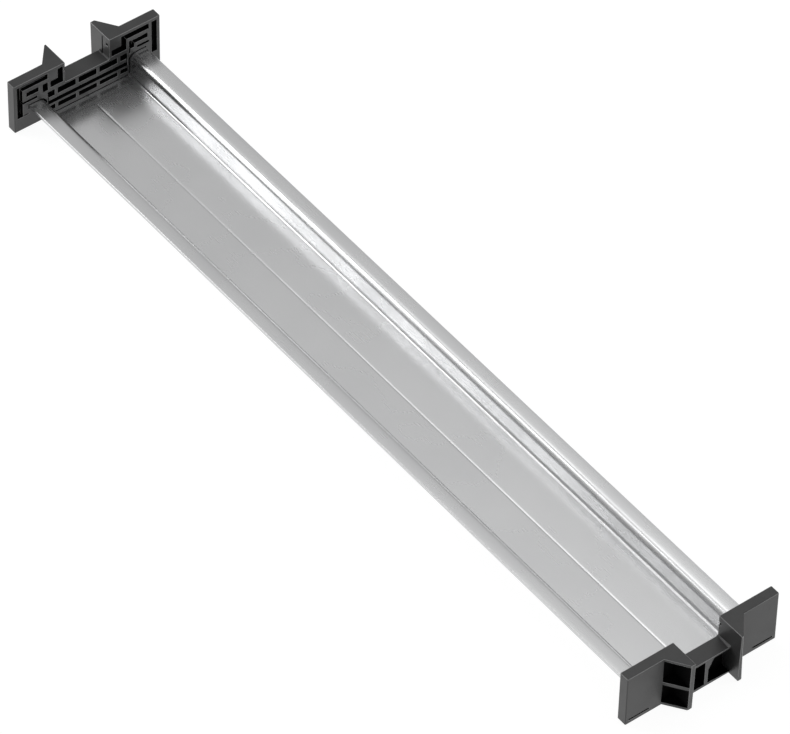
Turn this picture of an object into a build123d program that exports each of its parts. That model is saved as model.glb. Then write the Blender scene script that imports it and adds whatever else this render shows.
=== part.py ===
from build123d import *
import os

# A length of top-hat mounting rail, 35 mm wide and 7.5 mm high, lying open side up
# on the underside of its base, with a moulded plastic cap pushed on each end.
# X runs along the rail, Z is up, and the origin is under the middle of the base.

# Rail
rail_length = 237.2
rail_width = 35.0
rail_height = 7.5
sheet = 1.0
channel_width = 25.0       # clear width between the two upright walls
bend_radius = 0.8          # on the inside of each bend
score_width = 0.6          # line scored along the middle of the base
score_depth = 0.2

# End cap, its outside
cap_width = 43.8
cap_height = 15.2
cap_lift = 0.5             # lower edge of the cap above the rail's underside
plate_thickness = 2.8
end_outer_radius = 0.25
end_inner_radius = 0.25
notch_width = 13.3         # gap between the two wings, above the shelf
shelf_height = 8.7         # heights on the cap are measured from its lower edge
middle_depth = 4.55
shelf_skin = 0.5
centre_rib = 1.0
gusset_width = 1.5         # small web beside the top of the centre rib
gusset_drop = 3.0
gusset_thickness = 0.8
shelf_fillet = 0.5         # where the shelf meets the right-hand notch wall
foot_back = 0.2            # slanting foot of the left-hand notch wall, at the inner face
foot_front = 0.5           # and at the front of the shelf
mark_height = 0.5          # long shallow mark low on each wing's outer face
mark_depth = 0.2
mark_level = 0.85
mark_near = 1.0            # its ends, from the end of the wing
mark_far = 6.8

# End cap, the hollow wedge behind each wing
wedge_reach = 8.1          # how far its tip stands from the cap's inner face
wedge_spread = 4.85        # along the wing, from the notch to the wedge's root
wedge_draft = 0.3          # the tip's lower end stands back by this much
wedge_wall = 1.2
left_tip_low = 1.1         # the left-hand wedge narrows upwards to a sharp tip
left_tip_high = 0.4
wedge_skin = 0.7           # over the upper pocket
floor_skin = 0.7           # under every pocket
wedge_rib = 1.0
wedge_rib_height = 7.1
pocket_floor = 2.0         # plastic left between the pockets and the inner face
crease = 0.4               # upright line in the notch wall where the plate ends
crease_margin = 0.7
window = 0.8               # small blind hole in each notch wall
window_height = 12.9
window_offset = 0.8        # behind the inner face, in the right-hand wall
window_depth = 0.4

# End cap, the maze of slots in its inner face, which takes several rail sections
maze_depth = 1.2
maze_rim = 0.95
lane = 1.6                 # wide slots along the cap's top and ends
land = 0.8                 # plastic left between two lanes
lane_foot = 4.15           # where the lanes along the cap's ends stop
bar = 1.55                 # upright slots
thin_slot = 0.4            # end offsets of the inner slots
thin_slot_height = 0.7
hairline = 0.25
bridge_width = 0.9
bridge_pitch = 6.25
low_row = 1.9
low_row_height = 1.3
long_row = 3.95
long_row_height = 1.15
high_row = 6.2
high_row_height = 1.85
block_width = 3.75
block_level = 9.3
block_height = 2.0
notch_skin = 0.6           # plastic between the maze and the notch
inner_slot_level = 10.05
inner_slot_height = 1.4
inner_slot_length = 3.6
thin_slot_level = 8.15

# The rail's own seat in the cap
slot_depth = 1.6
slot_gap = 0.2             # clearance round the rail's section
end_gap = 0.1              # clearance at the bottom of the seat

half_channel = channel_width / 2
half_base = half_channel + sheet
half_rail = rail_width / 2
outer_bend_radius = bend_radius + sheet
half_notch = notch_width / 2
half_cap = cap_width / 2
cap_top = cap_lift + cap_height
shelf_top = cap_lift + shelf_height
wedge_root = half_notch + wedge_spread
face_x = rail_length / 2 - slot_depth + end_gap


def half_outline(gap):
    """Gives half of the rail's section, from the middle of its underside, grown by gap all round."""
    return [
        (0, -gap),
        (half_base + gap, -gap),
        (half_base + gap, rail_height - sheet - gap),
        (half_rail + gap, rail_height - sheet - gap),
        (half_rail + gap, rail_height + gap),
        (half_channel - gap, rail_height + gap),
        (half_channel - gap, sheet + gap),
        (0, sheet + gap),
    ]


def bend(section, gap):
    """Rounds the bends of a section drawn from half_outline."""
    inside = section.vertices().filter_by(lambda v: abs(abs(v.X) - half_channel + gap) < 0.001)
    outside = section.vertices().filter_by(lambda v: abs(abs(v.X) - half_base - gap) < 0.001)
    inside_low, inside_high = inside.sort_by(Axis.Y)[:2], inside.sort_by(Axis.Y)[2:]
    outside_low, outside_high = outside.sort_by(Axis.Y)[:2], outside.sort_by(Axis.Y)[2:]
    fillet(inside_high + outside_low, radius=outer_bend_radius + gap)
    fillet(inside_low + outside_high, radius=bend_radius - gap)


def slot(side, near, far, low, high):
    """Adds a slot to the open sketch, between two distances from a wing's end and two heights."""
    with Locations((side * (half_cap - (near + far) / 2), cap_lift + (low + high) / 2)):
        Rectangle(far - near, high - low)


with BuildPart() as rail:
    with BuildSketch(Plane.YZ) as rail_section:
        with BuildLine():
            Polyline(half_outline(0))
            mirror(about=Plane.YZ)
        make_face()
        bend(rail_section, 0)
        with BuildLine():
            Polyline(
                (-score_width / 2, sheet),
                (0, sheet - score_depth),
                (score_width / 2, sheet),
                close=True,
            )
        make_face(mode=Mode.SUBTRACT)
    extrude(amount=rail_length / 2, both=True)
rail.part.label = "rail"


with BuildPart() as cap:
    # Plate with the notch between its wings, inner face on the YZ plane
    with BuildSketch(Plane.XZ):
        with BuildLine():
            Polyline(
                (0, cap_lift),
                (-plate_thickness, cap_lift),
                (-plate_thickness, cap_top),
                (0, cap_top),
                close=True,
            )
        make_face()
    extrude(amount=half_cap, both=True)
    fillet(cap.edges().filter_by(Axis.Z).group_by(Axis.X)[0], radius=end_outer_radius)
    fillet(cap.edges().filter_by(Axis.Z).group_by(Axis.X)[-1], radius=end_inner_radius)
    with BuildSketch(Plane.YZ):
        with Locations((0, (shelf_top + cap_top) / 2)):
            Rectangle(notch_width, cap_top - shelf_top)
    extrude(amount=-plate_thickness, mode=Mode.SUBTRACT)

    # Deeper middle under the shelf
    with BuildSketch(Plane.YZ):
        with Locations((0, cap_lift + shelf_height / 2)):
            Rectangle(notch_width, shelf_height)
    extrude(amount=-middle_depth)

    # Wedges, drawn in plan at their lower and upper ends
    wedge_low = (cap_lift, wedge_reach - wedge_draft)
    wedge_high = (cap_top, wedge_reach)
    for side, tips in ((-1, (left_tip_low, left_tip_high)), (1, (wedge_wall, wedge_wall))):
        for (level, reach), tip in zip((wedge_low, wedge_high), tips):
            with BuildSketch(Plane.XY.offset(level)):
                with BuildLine():
                    Polyline(
                        (-plate_thickness / 2, side * half_notch),
                        (-reach, side * half_notch),
                        (-reach, side * (half_notch + tip)),
                        (-plate_thickness, side * wedge_root),
                        (-plate_thickness / 2, side * wedge_root),
                        close=True,
                    )
                make_face()
        loft()

    # Pockets in the slanting side of each wedge, above and below its rib
    rib_low = cap_lift + wedge_rib_height - wedge_rib / 2
    rib_high = rib_low + wedge_rib
    pocket_width = wedge_root - half_notch - wedge_wall
    for low, high in ((cap_lift + floor_skin, rib_low), (rib_high, cap_top - wedge_skin)):
        with BuildSketch(Plane.YZ.offset(-pocket_floor)):
            for side in (-1, 1):
                with Locations((side * (wedge_root - pocket_width / 2), (low + high) / 2)):
                    Rectangle(pocket_width, high - low)
        extrude(amount=-wedge_reach, mode=Mode.SUBTRACT)

    # Pockets in the middle, either side of its rib
    recess_low = cap_lift + floor_skin
    recess_high = shelf_top - shelf_skin
    recess_width = half_notch - centre_rib / 2
    with BuildSketch(Plane.YZ.offset(-pocket_floor)):
        for side in (-1, 1):
            with Locations((side * (centre_rib + recess_width) / 2, (recess_low + recess_high) / 2)):
                Rectangle(recess_width, recess_high - recess_low)
    extrude(amount=-middle_depth, mode=Mode.SUBTRACT)

    # Web beside the centre rib, level with the front of the middle
    with BuildSketch(Plane.YZ.offset(-middle_depth)):
        with BuildLine():
            Polyline(
                (0, recess_high),
                (-centre_rib / 2 - gusset_width, recess_high),
                (-centre_rib / 2, recess_high - gusset_drop),
                (0, recess_high - gusset_drop),
                close=True,
            )
        make_face()
    extrude(amount=gusset_thickness)

    # Rounded corner between the shelf and the right-hand notch wall, slanting foot on the left
    shelf_corner = cap.edges().filter_by(Axis.X).filter_by(
        lambda e: abs(e.center().Z - shelf_top) < 0.001 and abs(e.center().Y - half_notch) < 0.001
    )
    fillet(shelf_corner, radius=shelf_fillet)
    foot_side = -half_notch - wedge_wall / 2
    foot_base = shelf_top - shelf_skin / 2
    for depth, foot in ((0, foot_back), (middle_depth, foot_front)):
        with BuildSketch(Plane.YZ.offset(-depth)):
            with BuildLine():
                Polyline(
                    (foot_side, foot_base),
                    (foot - half_notch, foot_base),
                    (foot - half_notch, shelf_top),
                    (-half_notch, shelf_top + foot),
                    (foot_side, shelf_top + foot),
                    close=True,
                )
            make_face()
    loft()

    # Shallow mark low on the outer face of each wing
    with BuildSketch(Plane.YZ.offset(-plate_thickness)):
        for side in (-1, 1):
            slot(side, mark_near, mark_far, mark_level, mark_level + mark_height)
    extrude(amount=mark_depth, mode=Mode.SUBTRACT)

    # Crease in the right-hand notch wall, and a small blind hole in each of the two
    with BuildSketch(Plane.XY.offset(shelf_top)):
        with Locations((-plate_thickness - crease / 2, half_notch)):
            Rectangle(crease, crease)
    extrude(amount=cap_height - shelf_height - crease_margin, mode=Mode.SUBTRACT)
    with BuildSketch(Plane.XY.offset(cap_lift + window_height - window / 2)):
        for side, near in ((-1, 0), (1, window_offset)):
            with Locations((-near - window / 2, side * half_notch)):
                Rectangle(window, 2 * window_depth)
    extrude(amount=window, mode=Mode.SUBTRACT)

    # Maze of slots: distances run from each wing's end, heights from the cap's lower edge
    lane_top = cap_height - maze_rim
    lane_low = lane_top - lane
    lane_far = maze_rim + lane
    inner_near = lane_far + land
    inner_far = inner_near + inner_slot_length
    wing_width = half_cap - half_notch
    block_far = wing_width - notch_skin
    block_near = block_far - block_width
    block_top = block_level + block_height
    inner_slot_top = inner_slot_level + inner_slot_height
    thin_slot_top = thin_slot_level + thin_slot_height
    high_row_top = high_row + high_row_height
    with BuildSketch(Plane.YZ):
        for side in (-1, 1):
            slot(side, maze_rim, lane_far, lane_foot, lane_top)
            slot(side, block_near, block_far, block_level, block_top)
        # Left wing: a lane round the corner, a slot, and a bar over the block's inner end
        slot(-1, maze_rim, block_near - land, lane_low, lane_top)
        slot(-1, block_far - bar, block_far, block_level, lane_top)
        slot(-1, inner_near + thin_slot, inner_far + thin_slot, inner_slot_level, inner_slot_top)
        slot(-1, lane_far, inner_far, thin_slot_level, thin_slot_top)
        slot(-1, lane_far, half_cap - half_rail - slot_gap, lane_foot, lane_foot + hairline)
        slot(-1, block_near - land - bar, block_near - land, thin_slot_top, inner_slot_top)
        # Right wing: a lane that turns down into the block, and a hooked slot inside it
        slot(1, inner_near, block_near + land, lane_low, lane_top)
        slot(1, block_near + land - bar, block_near + land, block_level, lane_top)
        slot(1, inner_near + thin_slot, block_near - bar, inner_slot_level, inner_slot_top)
        slot(1, block_near - 2 * bar, block_near - bar, thin_slot_top, inner_slot_top)
        slot(1, block_near - bar - thin_slot, block_near - bar, thin_slot_level - land, thin_slot_top)
        slot(1, inner_near, inner_far, thin_slot_level, thin_slot_top)
        # Rows across the middle, the upper and lower ones broken by bridges
        row_end = half_channel - slot_gap - thin_slot
        broken_rows = ((low_row, low_row_height), (high_row, high_row_height))
        for low, height in (*broken_rows, (long_row, long_row_height)):
            with Locations((0, cap_lift + low + height / 2)):
                Rectangle(2 * row_end, height)
        for low, height in broken_rows:
            with Locations((0, cap_lift + low + height / 2)):
                with GridLocations(bridge_pitch, 0, 4, 1):
                    Rectangle(bridge_width, height, mode=Mode.SUBTRACT)
        for side in (-1, 1):
            slot(side, half_cap - row_end, half_cap - row_end + hairline, long_row, high_row_top)
    extrude(amount=-maze_depth, mode=Mode.SUBTRACT)

    # Seat of the rail, open along the cap's lower edge
    with BuildSketch(Plane.YZ) as seat:
        with BuildLine():
            Polyline(half_outline(slot_gap))
            mirror(about=Plane.YZ)
        make_face()
        bend(seat, slot_gap)
    extrude(amount=-slot_depth, mode=Mode.SUBTRACT)

# The same cap closes both ends, turned to face the other way
end_cap_left = cap.part.moved(Location((-face_x, 0, 0)))
end_cap_right = cap.part.moved(Location((face_x, 0, 0), (0, 0, 180)))
end_cap_left.label = "end_cap_left"
end_cap_right.label = "end_cap_right"

os.makedirs("parts", exist_ok=True)
export_step(rail.part, "parts/rail.step")
export_step(end_cap_left, "parts/end_cap_left.step")
export_step(end_cap_right, "parts/end_cap_right.step")
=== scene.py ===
import bpy
import math
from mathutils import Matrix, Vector


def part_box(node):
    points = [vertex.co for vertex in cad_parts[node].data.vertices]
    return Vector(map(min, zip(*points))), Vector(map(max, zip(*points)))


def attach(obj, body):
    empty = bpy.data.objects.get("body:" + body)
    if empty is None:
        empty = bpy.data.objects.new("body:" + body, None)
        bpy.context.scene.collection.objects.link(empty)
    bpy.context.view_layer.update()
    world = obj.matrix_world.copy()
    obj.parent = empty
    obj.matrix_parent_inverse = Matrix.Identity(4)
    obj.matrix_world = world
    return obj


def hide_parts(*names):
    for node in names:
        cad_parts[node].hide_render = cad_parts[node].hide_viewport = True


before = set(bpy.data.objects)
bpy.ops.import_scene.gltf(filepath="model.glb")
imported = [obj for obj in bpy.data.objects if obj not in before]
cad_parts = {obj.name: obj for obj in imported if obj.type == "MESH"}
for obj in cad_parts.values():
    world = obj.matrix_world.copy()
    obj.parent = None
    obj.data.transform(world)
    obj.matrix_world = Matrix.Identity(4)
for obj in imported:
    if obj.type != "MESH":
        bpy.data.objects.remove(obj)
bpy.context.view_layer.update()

mm = 0.001
samePoint = 0.001 * mm             # corners closer together than this become one


# Helpers for shapes

def only(piece):
    # selects this piece and nothing else
    bpy.ops.object.select_all(action="DESELECT")
    piece.select_set(True)
    bpy.context.view_layer.objects.active = piece


def near(value, target, margin=0.01 * mm):
    return abs(value - target) < margin


def pick(piece, kind, wanted):
    # selects the edges or vertices whose ends pass the test, and leaves edit mode on
    bpy.ops.object.mode_set(mode="EDIT")
    bpy.ops.mesh.select_mode(type={"vertices": "VERT", "edges": "EDGE"}[kind])
    bpy.ops.mesh.select_all(action="DESELECT")
    bpy.ops.object.mode_set(mode="OBJECT")
    mesh = piece.data
    for element in getattr(mesh, kind):
        ends = [element.index] if kind == "vertices" else element.vertices
        element.select = wanted([mesh.vertices[i].co for i in ends])
    bpy.ops.object.mode_set(mode="EDIT")


def mergeDoubles():
    bpy.ops.mesh.select_all(action="SELECT")
    bpy.ops.mesh.remove_doubles(threshold=samePoint)


def smooth(piece, sharp):
    # rounds the shading over bends and soft edges, and keeps large flat faces flat
    only(piece)
    bpy.ops.object.shade_smooth_by_angle(angle=sharp)
    weigh = piece.modifiers.new("flatFaces", "WEIGHTED_NORMAL")
    weigh.keep_sharp = True
    weigh.weight = 100             # in favour of large faces
    bpy.ops.object.modifier_apply(modifier=weigh.name)


def giveMaterials(piece, *materials):
    piece.data.materials.clear()
    for material in materials:
        piece.data.materials.append(material)


# Helpers for materials

def addNode(tree, kind, inputs=None, **settings):
    node = tree.nodes.new(kind)
    for name, value in settings.items():
        setattr(node, name, value)
    for name, value in (inputs or {}).items():
        if isinstance(value, bpy.types.NodeSocket):
            tree.links.new(value, node.inputs[name])
        else:
            node.inputs[name].default_value = value
    return node


def ramp(tree, value, low, high, start, end):
    # a smooth step from start to end as value goes from low to high
    node = addNode(tree, "ShaderNodeMapRange", interpolation_type="SMOOTHSTEP")
    for name, number in (("From Min", low), ("From Max", high), ("To Min", start), ("To Max", end)):
        node.inputs[name].default_value = number
    tree.links.new(value, node.inputs["Value"])
    return node.outputs["Result"]


def calculate(tree, operation, first, second):
    node = addNode(tree, "ShaderNodeMath", operation=operation)
    for socket, value in zip(node.inputs, (first, second)):
        if isinstance(value, bpy.types.NodeSocket):
            tree.links.new(value, socket)
        else:
            socket.default_value = value
    return node.outputs[0]


def blendColour(tree, factor, first, second):
    node = addNode(tree, "ShaderNodeMix", {"Factor": factor}, data_type="RGBA")
    colours = [socket for socket in node.inputs if socket.type == "RGBA"]
    for socket, colour in zip(colours, (first, second)):
        socket.default_value = (*colour, 1)
    return next(socket for socket in node.outputs if socket.type == "RGBA")


def newGroup(name, inputs, outputs):
    group = bpy.data.node_groups.new(name, "ShaderNodeTree")
    for socketName, kind in inputs.items():
        group.interface.new_socket(socketName, in_out="INPUT", socket_type="NodeSocket" + kind)
    for socketName in outputs:
        group.interface.new_socket(socketName, in_out="OUTPUT", socket_type="NodeSocketFloat")
    return group, group.nodes.new("NodeGroupInput"), group.nodes.new("NodeGroupOutput")


def useGroup(tree, group, **values):
    return addNode(tree, "ShaderNodeGroup", values, node_tree=group)


def newMaterial(name):
    material = bpy.data.materials.new(name)
    material.use_nodes = True
    return material, material.node_tree, material.node_tree.nodes["Principled BSDF"]


def placeOnPiece(tree):
    return addNode(tree, "ShaderNodeTexCoord").outputs["Object"]


# Patterns on the surfaces

rollPattern = {                    # waves per metre along the rail and across it, detail and roughness
    "Streaks": (9.0, 2600.0, 3.0, 0.6),
    "Broad": (3.0, 420.0, 2.0, 0.6),
}
mottlePattern = {                  # detail and roughness
    "Cloud": (2.0, 0.5),
    "Speckle": (2.0, 0.7),
}


def makeRollMarks():
    # long fine streaks along X, as rolls leave on sheet
    group, given, result = newGroup("rollMarks", {"Place": "Vector"}, rollPattern)
    for name, (along, across, detail, roughness) in rollPattern.items():
        stretched = addNode(group, "ShaderNodeMapping", {
            "Vector": given.outputs["Place"],
            "Scale": (along, across, across),
        })
        noise = addNode(group, "ShaderNodeTexNoise", {
            "Vector": stretched.outputs[0],
            "Scale": 1.0,
            "Detail": detail,
            "Roughness": roughness,
        })
        group.links.new(noise.outputs["Fac"], result.inputs[name])
    return group


def makeMottle():
    # cloudy change of tone over a centimetre or so, and a fine speckle
    inputs = {"Place": "Vector", "CloudWaves": "Float", "SpeckleWaves": "Float"}
    group, given, result = newGroup("mottle", inputs, mottlePattern)
    for name, (detail, roughness) in mottlePattern.items():
        noise = addNode(group, "ShaderNodeTexNoise", {
            "Vector": given.outputs["Place"],
            "Scale": given.outputs[name + "Waves"],
            "Detail": detail,
            "Roughness": roughness,
        })
        group.links.new(noise.outputs["Fac"], result.inputs[name])
    return group


rollMarks = makeRollMarks()
mottle = makeMottle()


# Zinc-plated sheet

sheetFinish = {
    "bright": (0.645, 0.648, 0.652),
    "dull": (0.60, 0.603, 0.608),
    "smooth": 0.24,                # roughness where it is bright
    "rough": 0.29,                 # and where it is dull
    "metallic": 0.93,
    "waves": {"CloudWaves": 45.0, "SpeckleWaves": 5200.0},    # per metre
    "streakShare": 0.08,           # share of each pattern in the dullness
    "broadShare": 0.12,
    "cloudShare": 0.8,
    "dullness": (0.3, 0.7),        # where their sum turns from bright to dull
    "streakHeight": 0.00003 * mm,
    "speckleHeight": 0.00003 * mm,
}


def makeSteel(name, look):
    material, tree, shader = newMaterial(name)
    place = placeOnPiece(tree)
    roll = useGroup(tree, rollMarks, Place=place)
    tone = useGroup(tree, mottle, Place=place, **look["waves"])

    streaks = calculate(tree, "MULTIPLY", roll.outputs["Streaks"], look["streakShare"])
    broad = calculate(tree, "MULTIPLY", roll.outputs["Broad"], look["broadShare"])
    cloud = calculate(tree, "MULTIPLY", tone.outputs["Cloud"], look["cloudShare"])
    total = calculate(tree, "ADD", calculate(tree, "ADD", streaks, broad), cloud)
    colour = blendColour(tree, ramp(tree, total, *look["dullness"], 0, 1), look["bright"], look["dull"])
    roughness = ramp(tree, total, *look["dullness"], look["smooth"], look["rough"])

    streakHeight = calculate(tree, "MULTIPLY", roll.outputs["Streaks"], look["streakHeight"])
    speckleHeight = calculate(tree, "MULTIPLY", tone.outputs["Speckle"], look["speckleHeight"])
    height = calculate(tree, "ADD", streakHeight, speckleHeight)
    bump = addNode(tree, "ShaderNodeBump", {"Height": height, "Strength": 1.0, "Distance": 1.0})
    tree.links.new(colour, shader.inputs["Base Color"])
    tree.links.new(roughness, shader.inputs["Roughness"])
    tree.links.new(bump.outputs[0], shader.inputs["Normal"])
    shader.inputs["Metallic"].default_value = look["metallic"]
    return material


# Moulded plastic

plasticTexture = {
    "waves": {"CloudWaves": 160.0, "SpeckleWaves": 9000.0},    # per metre
    "tone": (0.4, 0.6),            # where the pattern turns from the low to the high colour
    "gloss": (0.35, 0.65),         # where the clouds turn from smooth to rough
    "height": 0.003 * mm,
}
plasticFinish = {
    "faces": {
        "low": (0.034, 0.0342, 0.0345),
        "high": (0.044, 0.0442, 0.0445),
        "roughness": (0.36, 0.44),
        "specular": 0.5,
    },
    # painted highlight: the rounded edges are given a much paler colour than the faces
    "edges": {
        "low": (0.16, 0.161, 0.162),
        "high": (0.26, 0.261, 0.263),
        "roughness": (0.3, 0.42),
        "specular": 0.6,
    },
    # painted shade: the faces in the hollows are given a near-black colour
    "hollowPaintedShade": {
        "low": (0.0015, 0.0015, 0.0015),
        "high": (0.003, 0.003, 0.003),
        "roughness": (0.7, 0.8),
        "specular": 0.05,
    },
}


def makePlastic(name, texture, look):
    material, tree, shader = newMaterial(name)
    tone = useGroup(tree, mottle, Place=placeOnPiece(tree), **texture["waves"])
    cloud, speckle = tone.outputs["Cloud"], tone.outputs["Speckle"]
    average = calculate(tree, "MULTIPLY", calculate(tree, "ADD", speckle, cloud), 0.5)
    colour = blendColour(tree, ramp(tree, average, *texture["tone"], 0, 1), look["low"], look["high"])
    roughness = ramp(tree, cloud, *texture["gloss"], *look["roughness"])
    height = calculate(tree, "MULTIPLY", speckle, texture["height"])
    bump = addNode(tree, "ShaderNodeBump", {"Height": height, "Strength": 1.0, "Distance": 1.0})
    tree.links.new(colour, shader.inputs["Base Color"])
    tree.links.new(roughness, shader.inputs["Roughness"])
    tree.links.new(bump.outputs[0], shader.inputs["Normal"])
    shader.inputs["Specular IOR Level"].default_value = look["specular"]
    return material


galvanisedSteel = makeSteel("galvanisedSteel", sheetFinish)
capFaces = makePlastic("capPlastic", plasticTexture, plasticFinish["faces"])
capEdgeHighlight = makePlastic("capPlasticEdgeHighlight", plasticTexture, plasticFinish["edges"])
capPaintedShade = makePlastic("capPlasticPaintedShade", plasticTexture, plasticFinish["hollowPaintedShade"])
print("materials done")


# The rail

railSheet = {
    "thickness": 1.0 * mm,
    "wallAt": 13.0 * mm,           # foot of each wall, middle of the sheet, from the centre line
    "lean": 0.22 * mm,             # the walls lean outwards by this much
    "flangeSlopes": (              # width and slope of each strip of a flange, from the wall outwards
        (1.75 * mm, 0.07),
        (0.8 * mm, 0.045),
        (0.8 * mm, 0.02),
    ),
    "baseRadius": 1.25 * mm,       # of the bends, to the middle of the sheet
    "flangeRadius": 1.3 * mm,
    "bendSteps": 10,
    "scoreEdges": (-0.7 * mm, 0.36 * mm),    # of the line scored along the base, from the centre line
    "scoreMiddle": -0.12 * mm,
    "scoreDepth": 0.155 * mm,
    "crossCuts": (-0.4, -0.2, 0, 0.2, 0.4),    # divide the long faces, in rail lengths from the middle
    "edgeRound": 0.16 * mm,
    "edgeSteps": 3,
    "sharp": math.radians(20),
}


def lengthwise(ends):
    return near(ends[0].y, ends[1].y) and near(ends[0].z, ends[1].z)


def foldSide(rail, start, steps):
    # draws one side of the section outwards from the edge of the base, each step across and up
    reached = Vector(start)
    for across, up in steps:
        pick(rail, "edges", lambda ends: (
            lengthwise(ends) and near(ends[0].y, reached.y) and near(ends[0].z, reached.z)))
        onward = Vector((0, across, up))
        bpy.ops.mesh.extrude_region_move(TRANSFORM_OT_translate={"value": onward})
        reached += onward


def roundLengthwise(rail, across, radius, steps):
    # rounds the lengthwise edges that lie this far from the centre line, on both sides
    pick(rail, "edges", lambda ends: lengthwise(ends) and near(abs(ends[0].y), across))
    bpy.ops.mesh.bevel(offset=radius, segments=steps, profile=0.5)


def cutAt(spot, direction):
    bpy.ops.mesh.select_all(action="SELECT")
    bpy.ops.mesh.bisect(plane_co=spot, plane_no=direction, threshold=samePoint)


def buildRail(size):
    low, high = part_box("rail")
    length = high.x - low.x
    half = size["thickness"] / 2
    wall = size["wallAt"]
    bpy.ops.object.select_all(action="DESELECT")
    bpy.ops.mesh.primitive_plane_add(size=1, location=(0, 0, 0))
    rail = bpy.context.object
    rail.name = "railSheet"
    bpy.ops.object.mode_set(mode="EDIT")
    bpy.ops.transform.resize(value=(length, 2 * wall, 1))
    bpy.ops.transform.translate(value=(0, 0, half))

    # the flanges have sprung back a little, so they rise from the bend and level out at the edge
    strips = [(width, width * slope) for width, slope in size["flangeSlopes"]]
    wallHeight = high.z - size["thickness"] - sum(rise for width, rise in strips)
    levelWidth = high.y - wall - size["lean"] - sum(width for width, rise in strips)
    section = [(size["lean"], wallHeight), *strips, (levelWidth, 0)]
    for side in (-1, 1):
        foldSide(rail, (0, side * wall, half), [(side * outwards, up) for outwards, up in section])
    roundLengthwise(rail, wall, size["baseRadius"], size["bendSteps"])
    roundLengthwise(rail, wall + size["lean"], size["flangeRadius"], size["bendSteps"])

    for across in (*size["scoreEdges"], size["scoreMiddle"]):
        cutAt((0, across, 0), (0, 1, 0))
    for share in size["crossCuts"]:
        cutAt((share * length, 0, 0), (1, 0, 0))
    mergeDoubles()
    bpy.ops.mesh.normals_make_consistent(inside=False)
    bpy.ops.object.mode_set(mode="OBJECT")
    solid = rail.modifiers.new("sheet", "SOLIDIFY")
    solid.thickness = size["thickness"]
    solid.offset = 0
    solid.use_even_offset = True
    bpy.ops.object.modifier_apply(modifier=solid.name)

    # the middle of the scored line is pressed down
    pick(rail, "vertices", lambda ends: (
        near(ends[0].y, size["scoreMiddle"]) and near(ends[0].z, size["thickness"])))
    bpy.ops.transform.translate(value=(0, 0, -size["scoreDepth"]))

    # soft edges where the sheet was slit
    roundLengthwise(rail, high.y, size["edgeRound"], size["edgeSteps"])
    bpy.ops.mesh.select_all(action="SELECT")
    bpy.ops.mesh.normals_make_consistent(inside=False)
    bpy.ops.object.mode_set(mode="OBJECT")
    smooth(rail, size["sharp"])
    giveMaterials(rail, galvanisedSteel)
    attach(rail, "root")
    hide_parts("rail")


buildRail(railSheet)
print("rail done")


# The end caps

capMoulding = {
    "edgeRound": 0.13 * mm,        # outside edges
    "slotRound": 0.09 * mm,        # edges of the maze and the rail's seat
    "roundSteps": 2,
    "plate": 2.8 * mm,             # thickness of the wings
    "halfNotch": 6.65 * mm,
    "shelf": 9.2 * mm,             # height of the notch's floor
    "rim": 0.6 * mm,
    "mazeFloor": 1.8 * mm,         # nothing of the maze or the rail's seat lies deeper than this
    "pocketFloor": 2.0 * mm,
    "markFrom": 15 * mm,           # the shallow mark low on each wing
    "markTo": 21 * mm,
    "markTop": 2 * mm,
    "wedgeWall": 1.2 * mm,
    "wedgeRoot": 11.5 * mm,
    "rib": 1.0 * mm,
    "skin": 0.5 * mm,
    "slack": 0.02 * mm,
    "facesAway": 0.3,              # a normal with more than this along X points away from the rail
    "flat": math.radians(0.5),     # faces that meet at less than this become one
    "sharp": math.radians(30),
}
capMaterials = [capFaces, capEdgeHighlight, capPaintedShade]


def capZones(size, low, high):
    # tests for points in the maze and for faces in any hollow; depths are from the cap's inner face
    face = min(abs(low.x), abs(high.x))
    away = math.copysign(1, low.x + high.x)
    slack = size["slack"]

    def depth(point):
        return abs(point.x) - face

    def across(points):
        return abs(sum(p.y for p in points)) / len(points)

    def level(points):
        return sum(p.z for p in points) / len(points)

    def inMaze(points):
        y, z = across(points), level(points)
        topmost = high.z if y > size["halfNotch"] else size["shelf"]
        within = low.z + size["rim"] < z < topmost - size["rim"] and y < high.y - size["rim"]
        return within and max(depth(p) for p in points) < size["mazeFloor"]

    def inPocket(points, outward):
        y, z = across(points), level(points)
        wedge = size["halfNotch"] + size["wedgeWall"] - slack < y < size["wedgeRoot"] + slack
        underShelf = z < size["shelf"] - size["skin"] + slack
        middle = size["rib"] / 2 - slack < y < size["halfNotch"] + slack and underShelf
        nearest = min(depth(p) for p in points)
        front = outward > size["facesAway"] and nearest > size["pocketFloor"] + slack
        return (wedge or middle) and nearest > size["mazeFloor"] and not front

    def inMark(points):
        deepest = max(depth(p) for p in points)
        beside = size["markFrom"] < across(points) < size["markTo"] and level(points) < size["markTop"]
        return beside and size["mazeFloor"] < deepest < size["plate"] - slack

    def inHollow(polygon, points):
        inSlot = inMaze(points) and depth(polygon.center) > 2 * size["slotRound"]
        return inSlot or inMark(points) or inPocket(points, polygon.normal.x * away)

    return inMaze, inHollow


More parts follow.
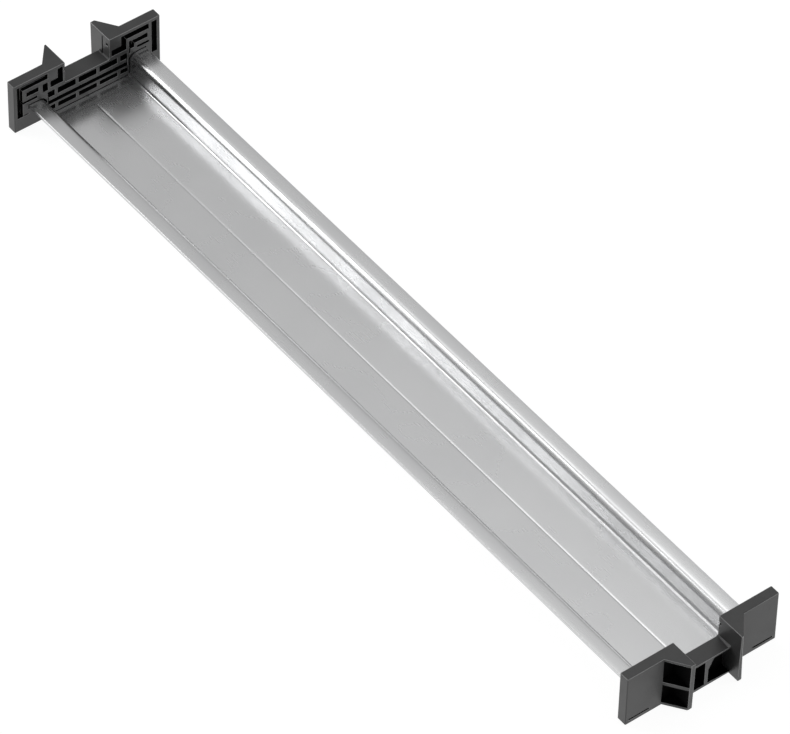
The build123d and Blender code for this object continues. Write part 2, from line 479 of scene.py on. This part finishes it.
def softenEdges(cap, size, inMaze):
    # rounds the edges that stand out, those of the maze less than the rest
    mesh = cap.data
    beside = {}
    for polygon in mesh.polygons:
        for key in polygon.edge_keys:
            beside.setdefault(key, []).append(polygon)
    weights = mesh.attributes.new("bevel_weight_edge", "FLOAT", "EDGE")
    for edge in mesh.edges:
        first, second = beside[edge.key]
        folded = first.normal.angle(second.normal) > size["sharp"]
        standsOut = (second.center - first.center).dot(first.normal) < 0
        ends = [mesh.vertices[i].co for i in edge.vertices]
        share = size["slotRound"] / size["edgeRound"] if inMaze(ends) else 1.0
        weights.data[edge.index].value = share if folded and standsOut else 0.0
    soften = cap.modifiers.new("softEdges", "BEVEL")
    soften.limit_method = "WEIGHT"
    soften.width = size["edgeRound"]
    soften.segments = size["roundSteps"]
    soften.use_clamp_overlap = False
    # the rounded faces take the edge colour, a painted highlight
    soften.material = capMaterials.index(capEdgeHighlight)
    bpy.ops.object.modifier_apply(modifier=soften.name)


def paintShadeInHollows(cap, inHollow):
    # paints shade into the hollows: their faces take the near-black painted-shade colour instead of the
    # plain face colour
    mesh = cap.data
    for polygon in mesh.polygons:
        corners = [mesh.vertices[i].co for i in polygon.vertices]
        if polygon.material_index == capMaterials.index(capFaces) and inHollow(polygon, corners):
            polygon.material_index = capMaterials.index(capPaintedShade)


def buildCap(node, name, size):
    inMaze, inHollow = capZones(size, *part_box(node))
    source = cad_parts[node]
    cap = source.copy()
    cap.data = source.data.copy()
    cap.name = name
    bpy.context.scene.collection.objects.link(cap)
    only(cap)
    bpy.ops.object.mode_set(mode="EDIT")
    mergeDoubles()
    bpy.ops.mesh.dissolve_limited(angle_limit=size["flat"])
    bpy.ops.object.mode_set(mode="OBJECT")
    giveMaterials(cap, *capMaterials)
    softenEdges(cap, size, inMaze)
    paintShadeInHollows(cap, inHollow)
    smooth(cap, size["sharp"])
    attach(cap, "root")
    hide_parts(node)


buildCap("end_cap_left", "capLeft", capMoulding)
buildCap("end_cap_right", "capRight", capMoulding)
print("caps done")


# Camera

view = {
    "lens": 289.763,
    "sensor": 36,
    "clipEnd": 20,
    "at": (0.81493, -0.64262, 1.07978),
    "turned": (43.92639, -0.97385, 52.52990),    # degrees
}


def makeCamera(look):
    camera = bpy.data.cameras.new("camera")
    camera.sensor_width = look["sensor"]
    camera.lens = look["lens"]
    camera.clip_end = look["clipEnd"]
    cameraObject = bpy.data.objects.new("camera", camera)
    bpy.context.scene.collection.objects.link(cameraObject)
    cameraObject.location = look["at"]
    cameraObject.rotation_euler = [math.radians(angle) for angle in look["turned"]]
    bpy.context.scene.camera = cameraObject


makeCamera(view)


# Floor

floorPaper = {
    "size": 8,
    "drop": 0.05 * mm,             # below the rail
    "colour": (0.95, 0.95, 0.95),
    "roughness": 0.9,
    "glow": 0.85,                  # share of plain white in what the camera sees of the floor
    "shine": 0.95,                 # the same for what the part's surfaces reflect of it
    "white": 1.1,                  # how bright that white is
}


def makePaper(name, look):
    material, tree, shader = newMaterial(name)
    shader.inputs["Base Color"].default_value = (*look["colour"], 1)
    shader.inputs["Roughness"].default_value = look["roughness"]
    rays = addNode(tree, "ShaderNodeLightPath")
    white = addNode(tree, "ShaderNodeEmission", {"Strength": look["white"]})
    seen = calculate(tree, "MULTIPLY", rays.outputs["Is Camera Ray"], look["glow"])
    reflected = calculate(tree, "MULTIPLY", rays.outputs["Is Glossy Ray"], look["shine"])
    share = calculate(tree, "ADD", seen, reflected)
    sheet = addNode(tree, "ShaderNodeMixShader")
    for socket, source in zip(sheet.inputs, (share, shader.outputs[0], white.outputs[0])):
        tree.links.new(source, socket)
    tree.links.new(sheet.outputs[0], tree.nodes["Material Output"].inputs["Surface"])
    return material


def makeFloor(look):
    bpy.ops.object.select_all(action="DESELECT")
    bpy.ops.mesh.primitive_plane_add(size=look["size"], location=(0, 0, -look["drop"]))
    floor = bpy.context.object
    floor.name = "floor"
    giveMaterials(floor, makePaper("floorPaper", look))


makeFloor(floorPaper)


# Lamps

lamps = {                          # direction from the part in degrees, distance, size and radiance
    "sidePanelFar": {"around": 191, "up": 22.7, "far": 0.85, "size": (0.3, 0.75), "bright": 0.45},
    "sidePanelMiddle": {"around": 209, "up": 22.7, "far": 0.85, "size": (0.18, 0.75), "bright": 1.6},
    "sidePanelLow": {"around": 222.5, "up": 16.2, "far": 0.85, "size": (0.224, 0.5), "bright": 2.8},
    "sidePanelHigh": {"around": 220, "up": 40.2, "far": 0.85, "size": (0.15, 0.22), "bright": 4.3},
    "sidePanelNear": {"around": 232, "up": 45, "far": 0.85, "size": (0.2, 0.14), "bright": 1.35},
    "topBox": {"around": 177, "up": 75.6, "far": 0.72, "size": (0.6, 0.2), "bright": 1.07},
    "topBoxSmall": {"around": 183, "up": 61, "far": 0.75, "size": (0.14, 0.17), "bright": 1.4},
    "backBox": {"around": 95, "up": 46, "far": 0.8, "size": (0.5, 0.4), "bright": 0.2},
    "overBox": {"around": 141, "up": 60, "far": 0.8, "size": (0.5, 0.5), "bright": 0.14},
    "overBoxSmall": {"around": 152, "up": 64, "far": 0.8, "size": (0.28, 0.24), "bright": 0.55},
    "frontBox": {"around": 38, "up": 46, "far": 0.85, "size": (0.5, 0.45), "bright": 2.0},
    "lowPanel": {"around": 123, "up": 7, "far": 0.85, "size": (0.5, 0.2), "bright": 0.95},
}


def hangLamp(name, lamp):
    light = bpy.data.lights.new(name, "AREA")
    light.shape = "RECTANGLE"
    light.size, light.size_y = lamp["size"]
    light.energy = lamp["bright"] * math.pi * light.size * light.size_y
    around, up = math.radians(lamp["around"]), math.radians(lamp["up"])
    direction = Vector((math.cos(around) * math.cos(up), math.sin(around) * math.cos(up), math.sin(up)))
    lampObject = bpy.data.objects.new(name, light)
    bpy.context.scene.collection.objects.link(lampObject)
    lampObject.location = direction * lamp["far"]
    lampObject.rotation_euler = (-lampObject.location).to_track_quat("-Z", "Y").to_euler()


for name, lamp in lamps.items():
    hangLamp(name, lamp)


# The room around

room = {
    "white": 1.0,                  # what the camera sees of it
    "ambient": 0.26,               # its light on the part
    "horizon": 0.33,               # what metal and plastic reflect of it, low down
    "ceiling": 0.62,               # and high up
    "heights": (0.15, 0.65),       # where low turns into high, as the sine of the angle upwards
}


def makeRoom(look):
    world = bpy.data.worlds.new("studio")
    bpy.context.scene.world = world
    world.use_nodes = True
    tree = world.node_tree
    rays = addNode(tree, "ShaderNodeLightPath")
    direction = addNode(tree, "ShaderNodeTexCoord").outputs["Generated"]
    height = addNode(tree, "ShaderNodeSeparateXYZ", {"Vector": direction}).outputs["Z"]
    reflected = ramp(tree, height, *look["heights"], look["horizon"], look["ceiling"])
    lit = addNode(tree, "ShaderNodeMix", {
        "Factor": rays.outputs["Is Glossy Ray"],
        "A": look["ambient"],
        "B": reflected,
    })
    shown = calculate(tree, "MAXIMUM", rays.outputs["Is Camera Ray"], rays.outputs["Is Transmission Ray"])
    seen = addNode(tree, "ShaderNodeMix", {"Factor": shown, "A": lit.outputs[0], "B": look["white"]})
    background = tree.nodes["Background"]
    background.inputs["Color"].default_value = (1, 1, 1, 1)
    tree.links.new(seen.outputs[0], background.inputs["Strength"])


makeRoom(room)
bpy.context.scene.view_settings.view_transform = "Standard"
print("studio done")
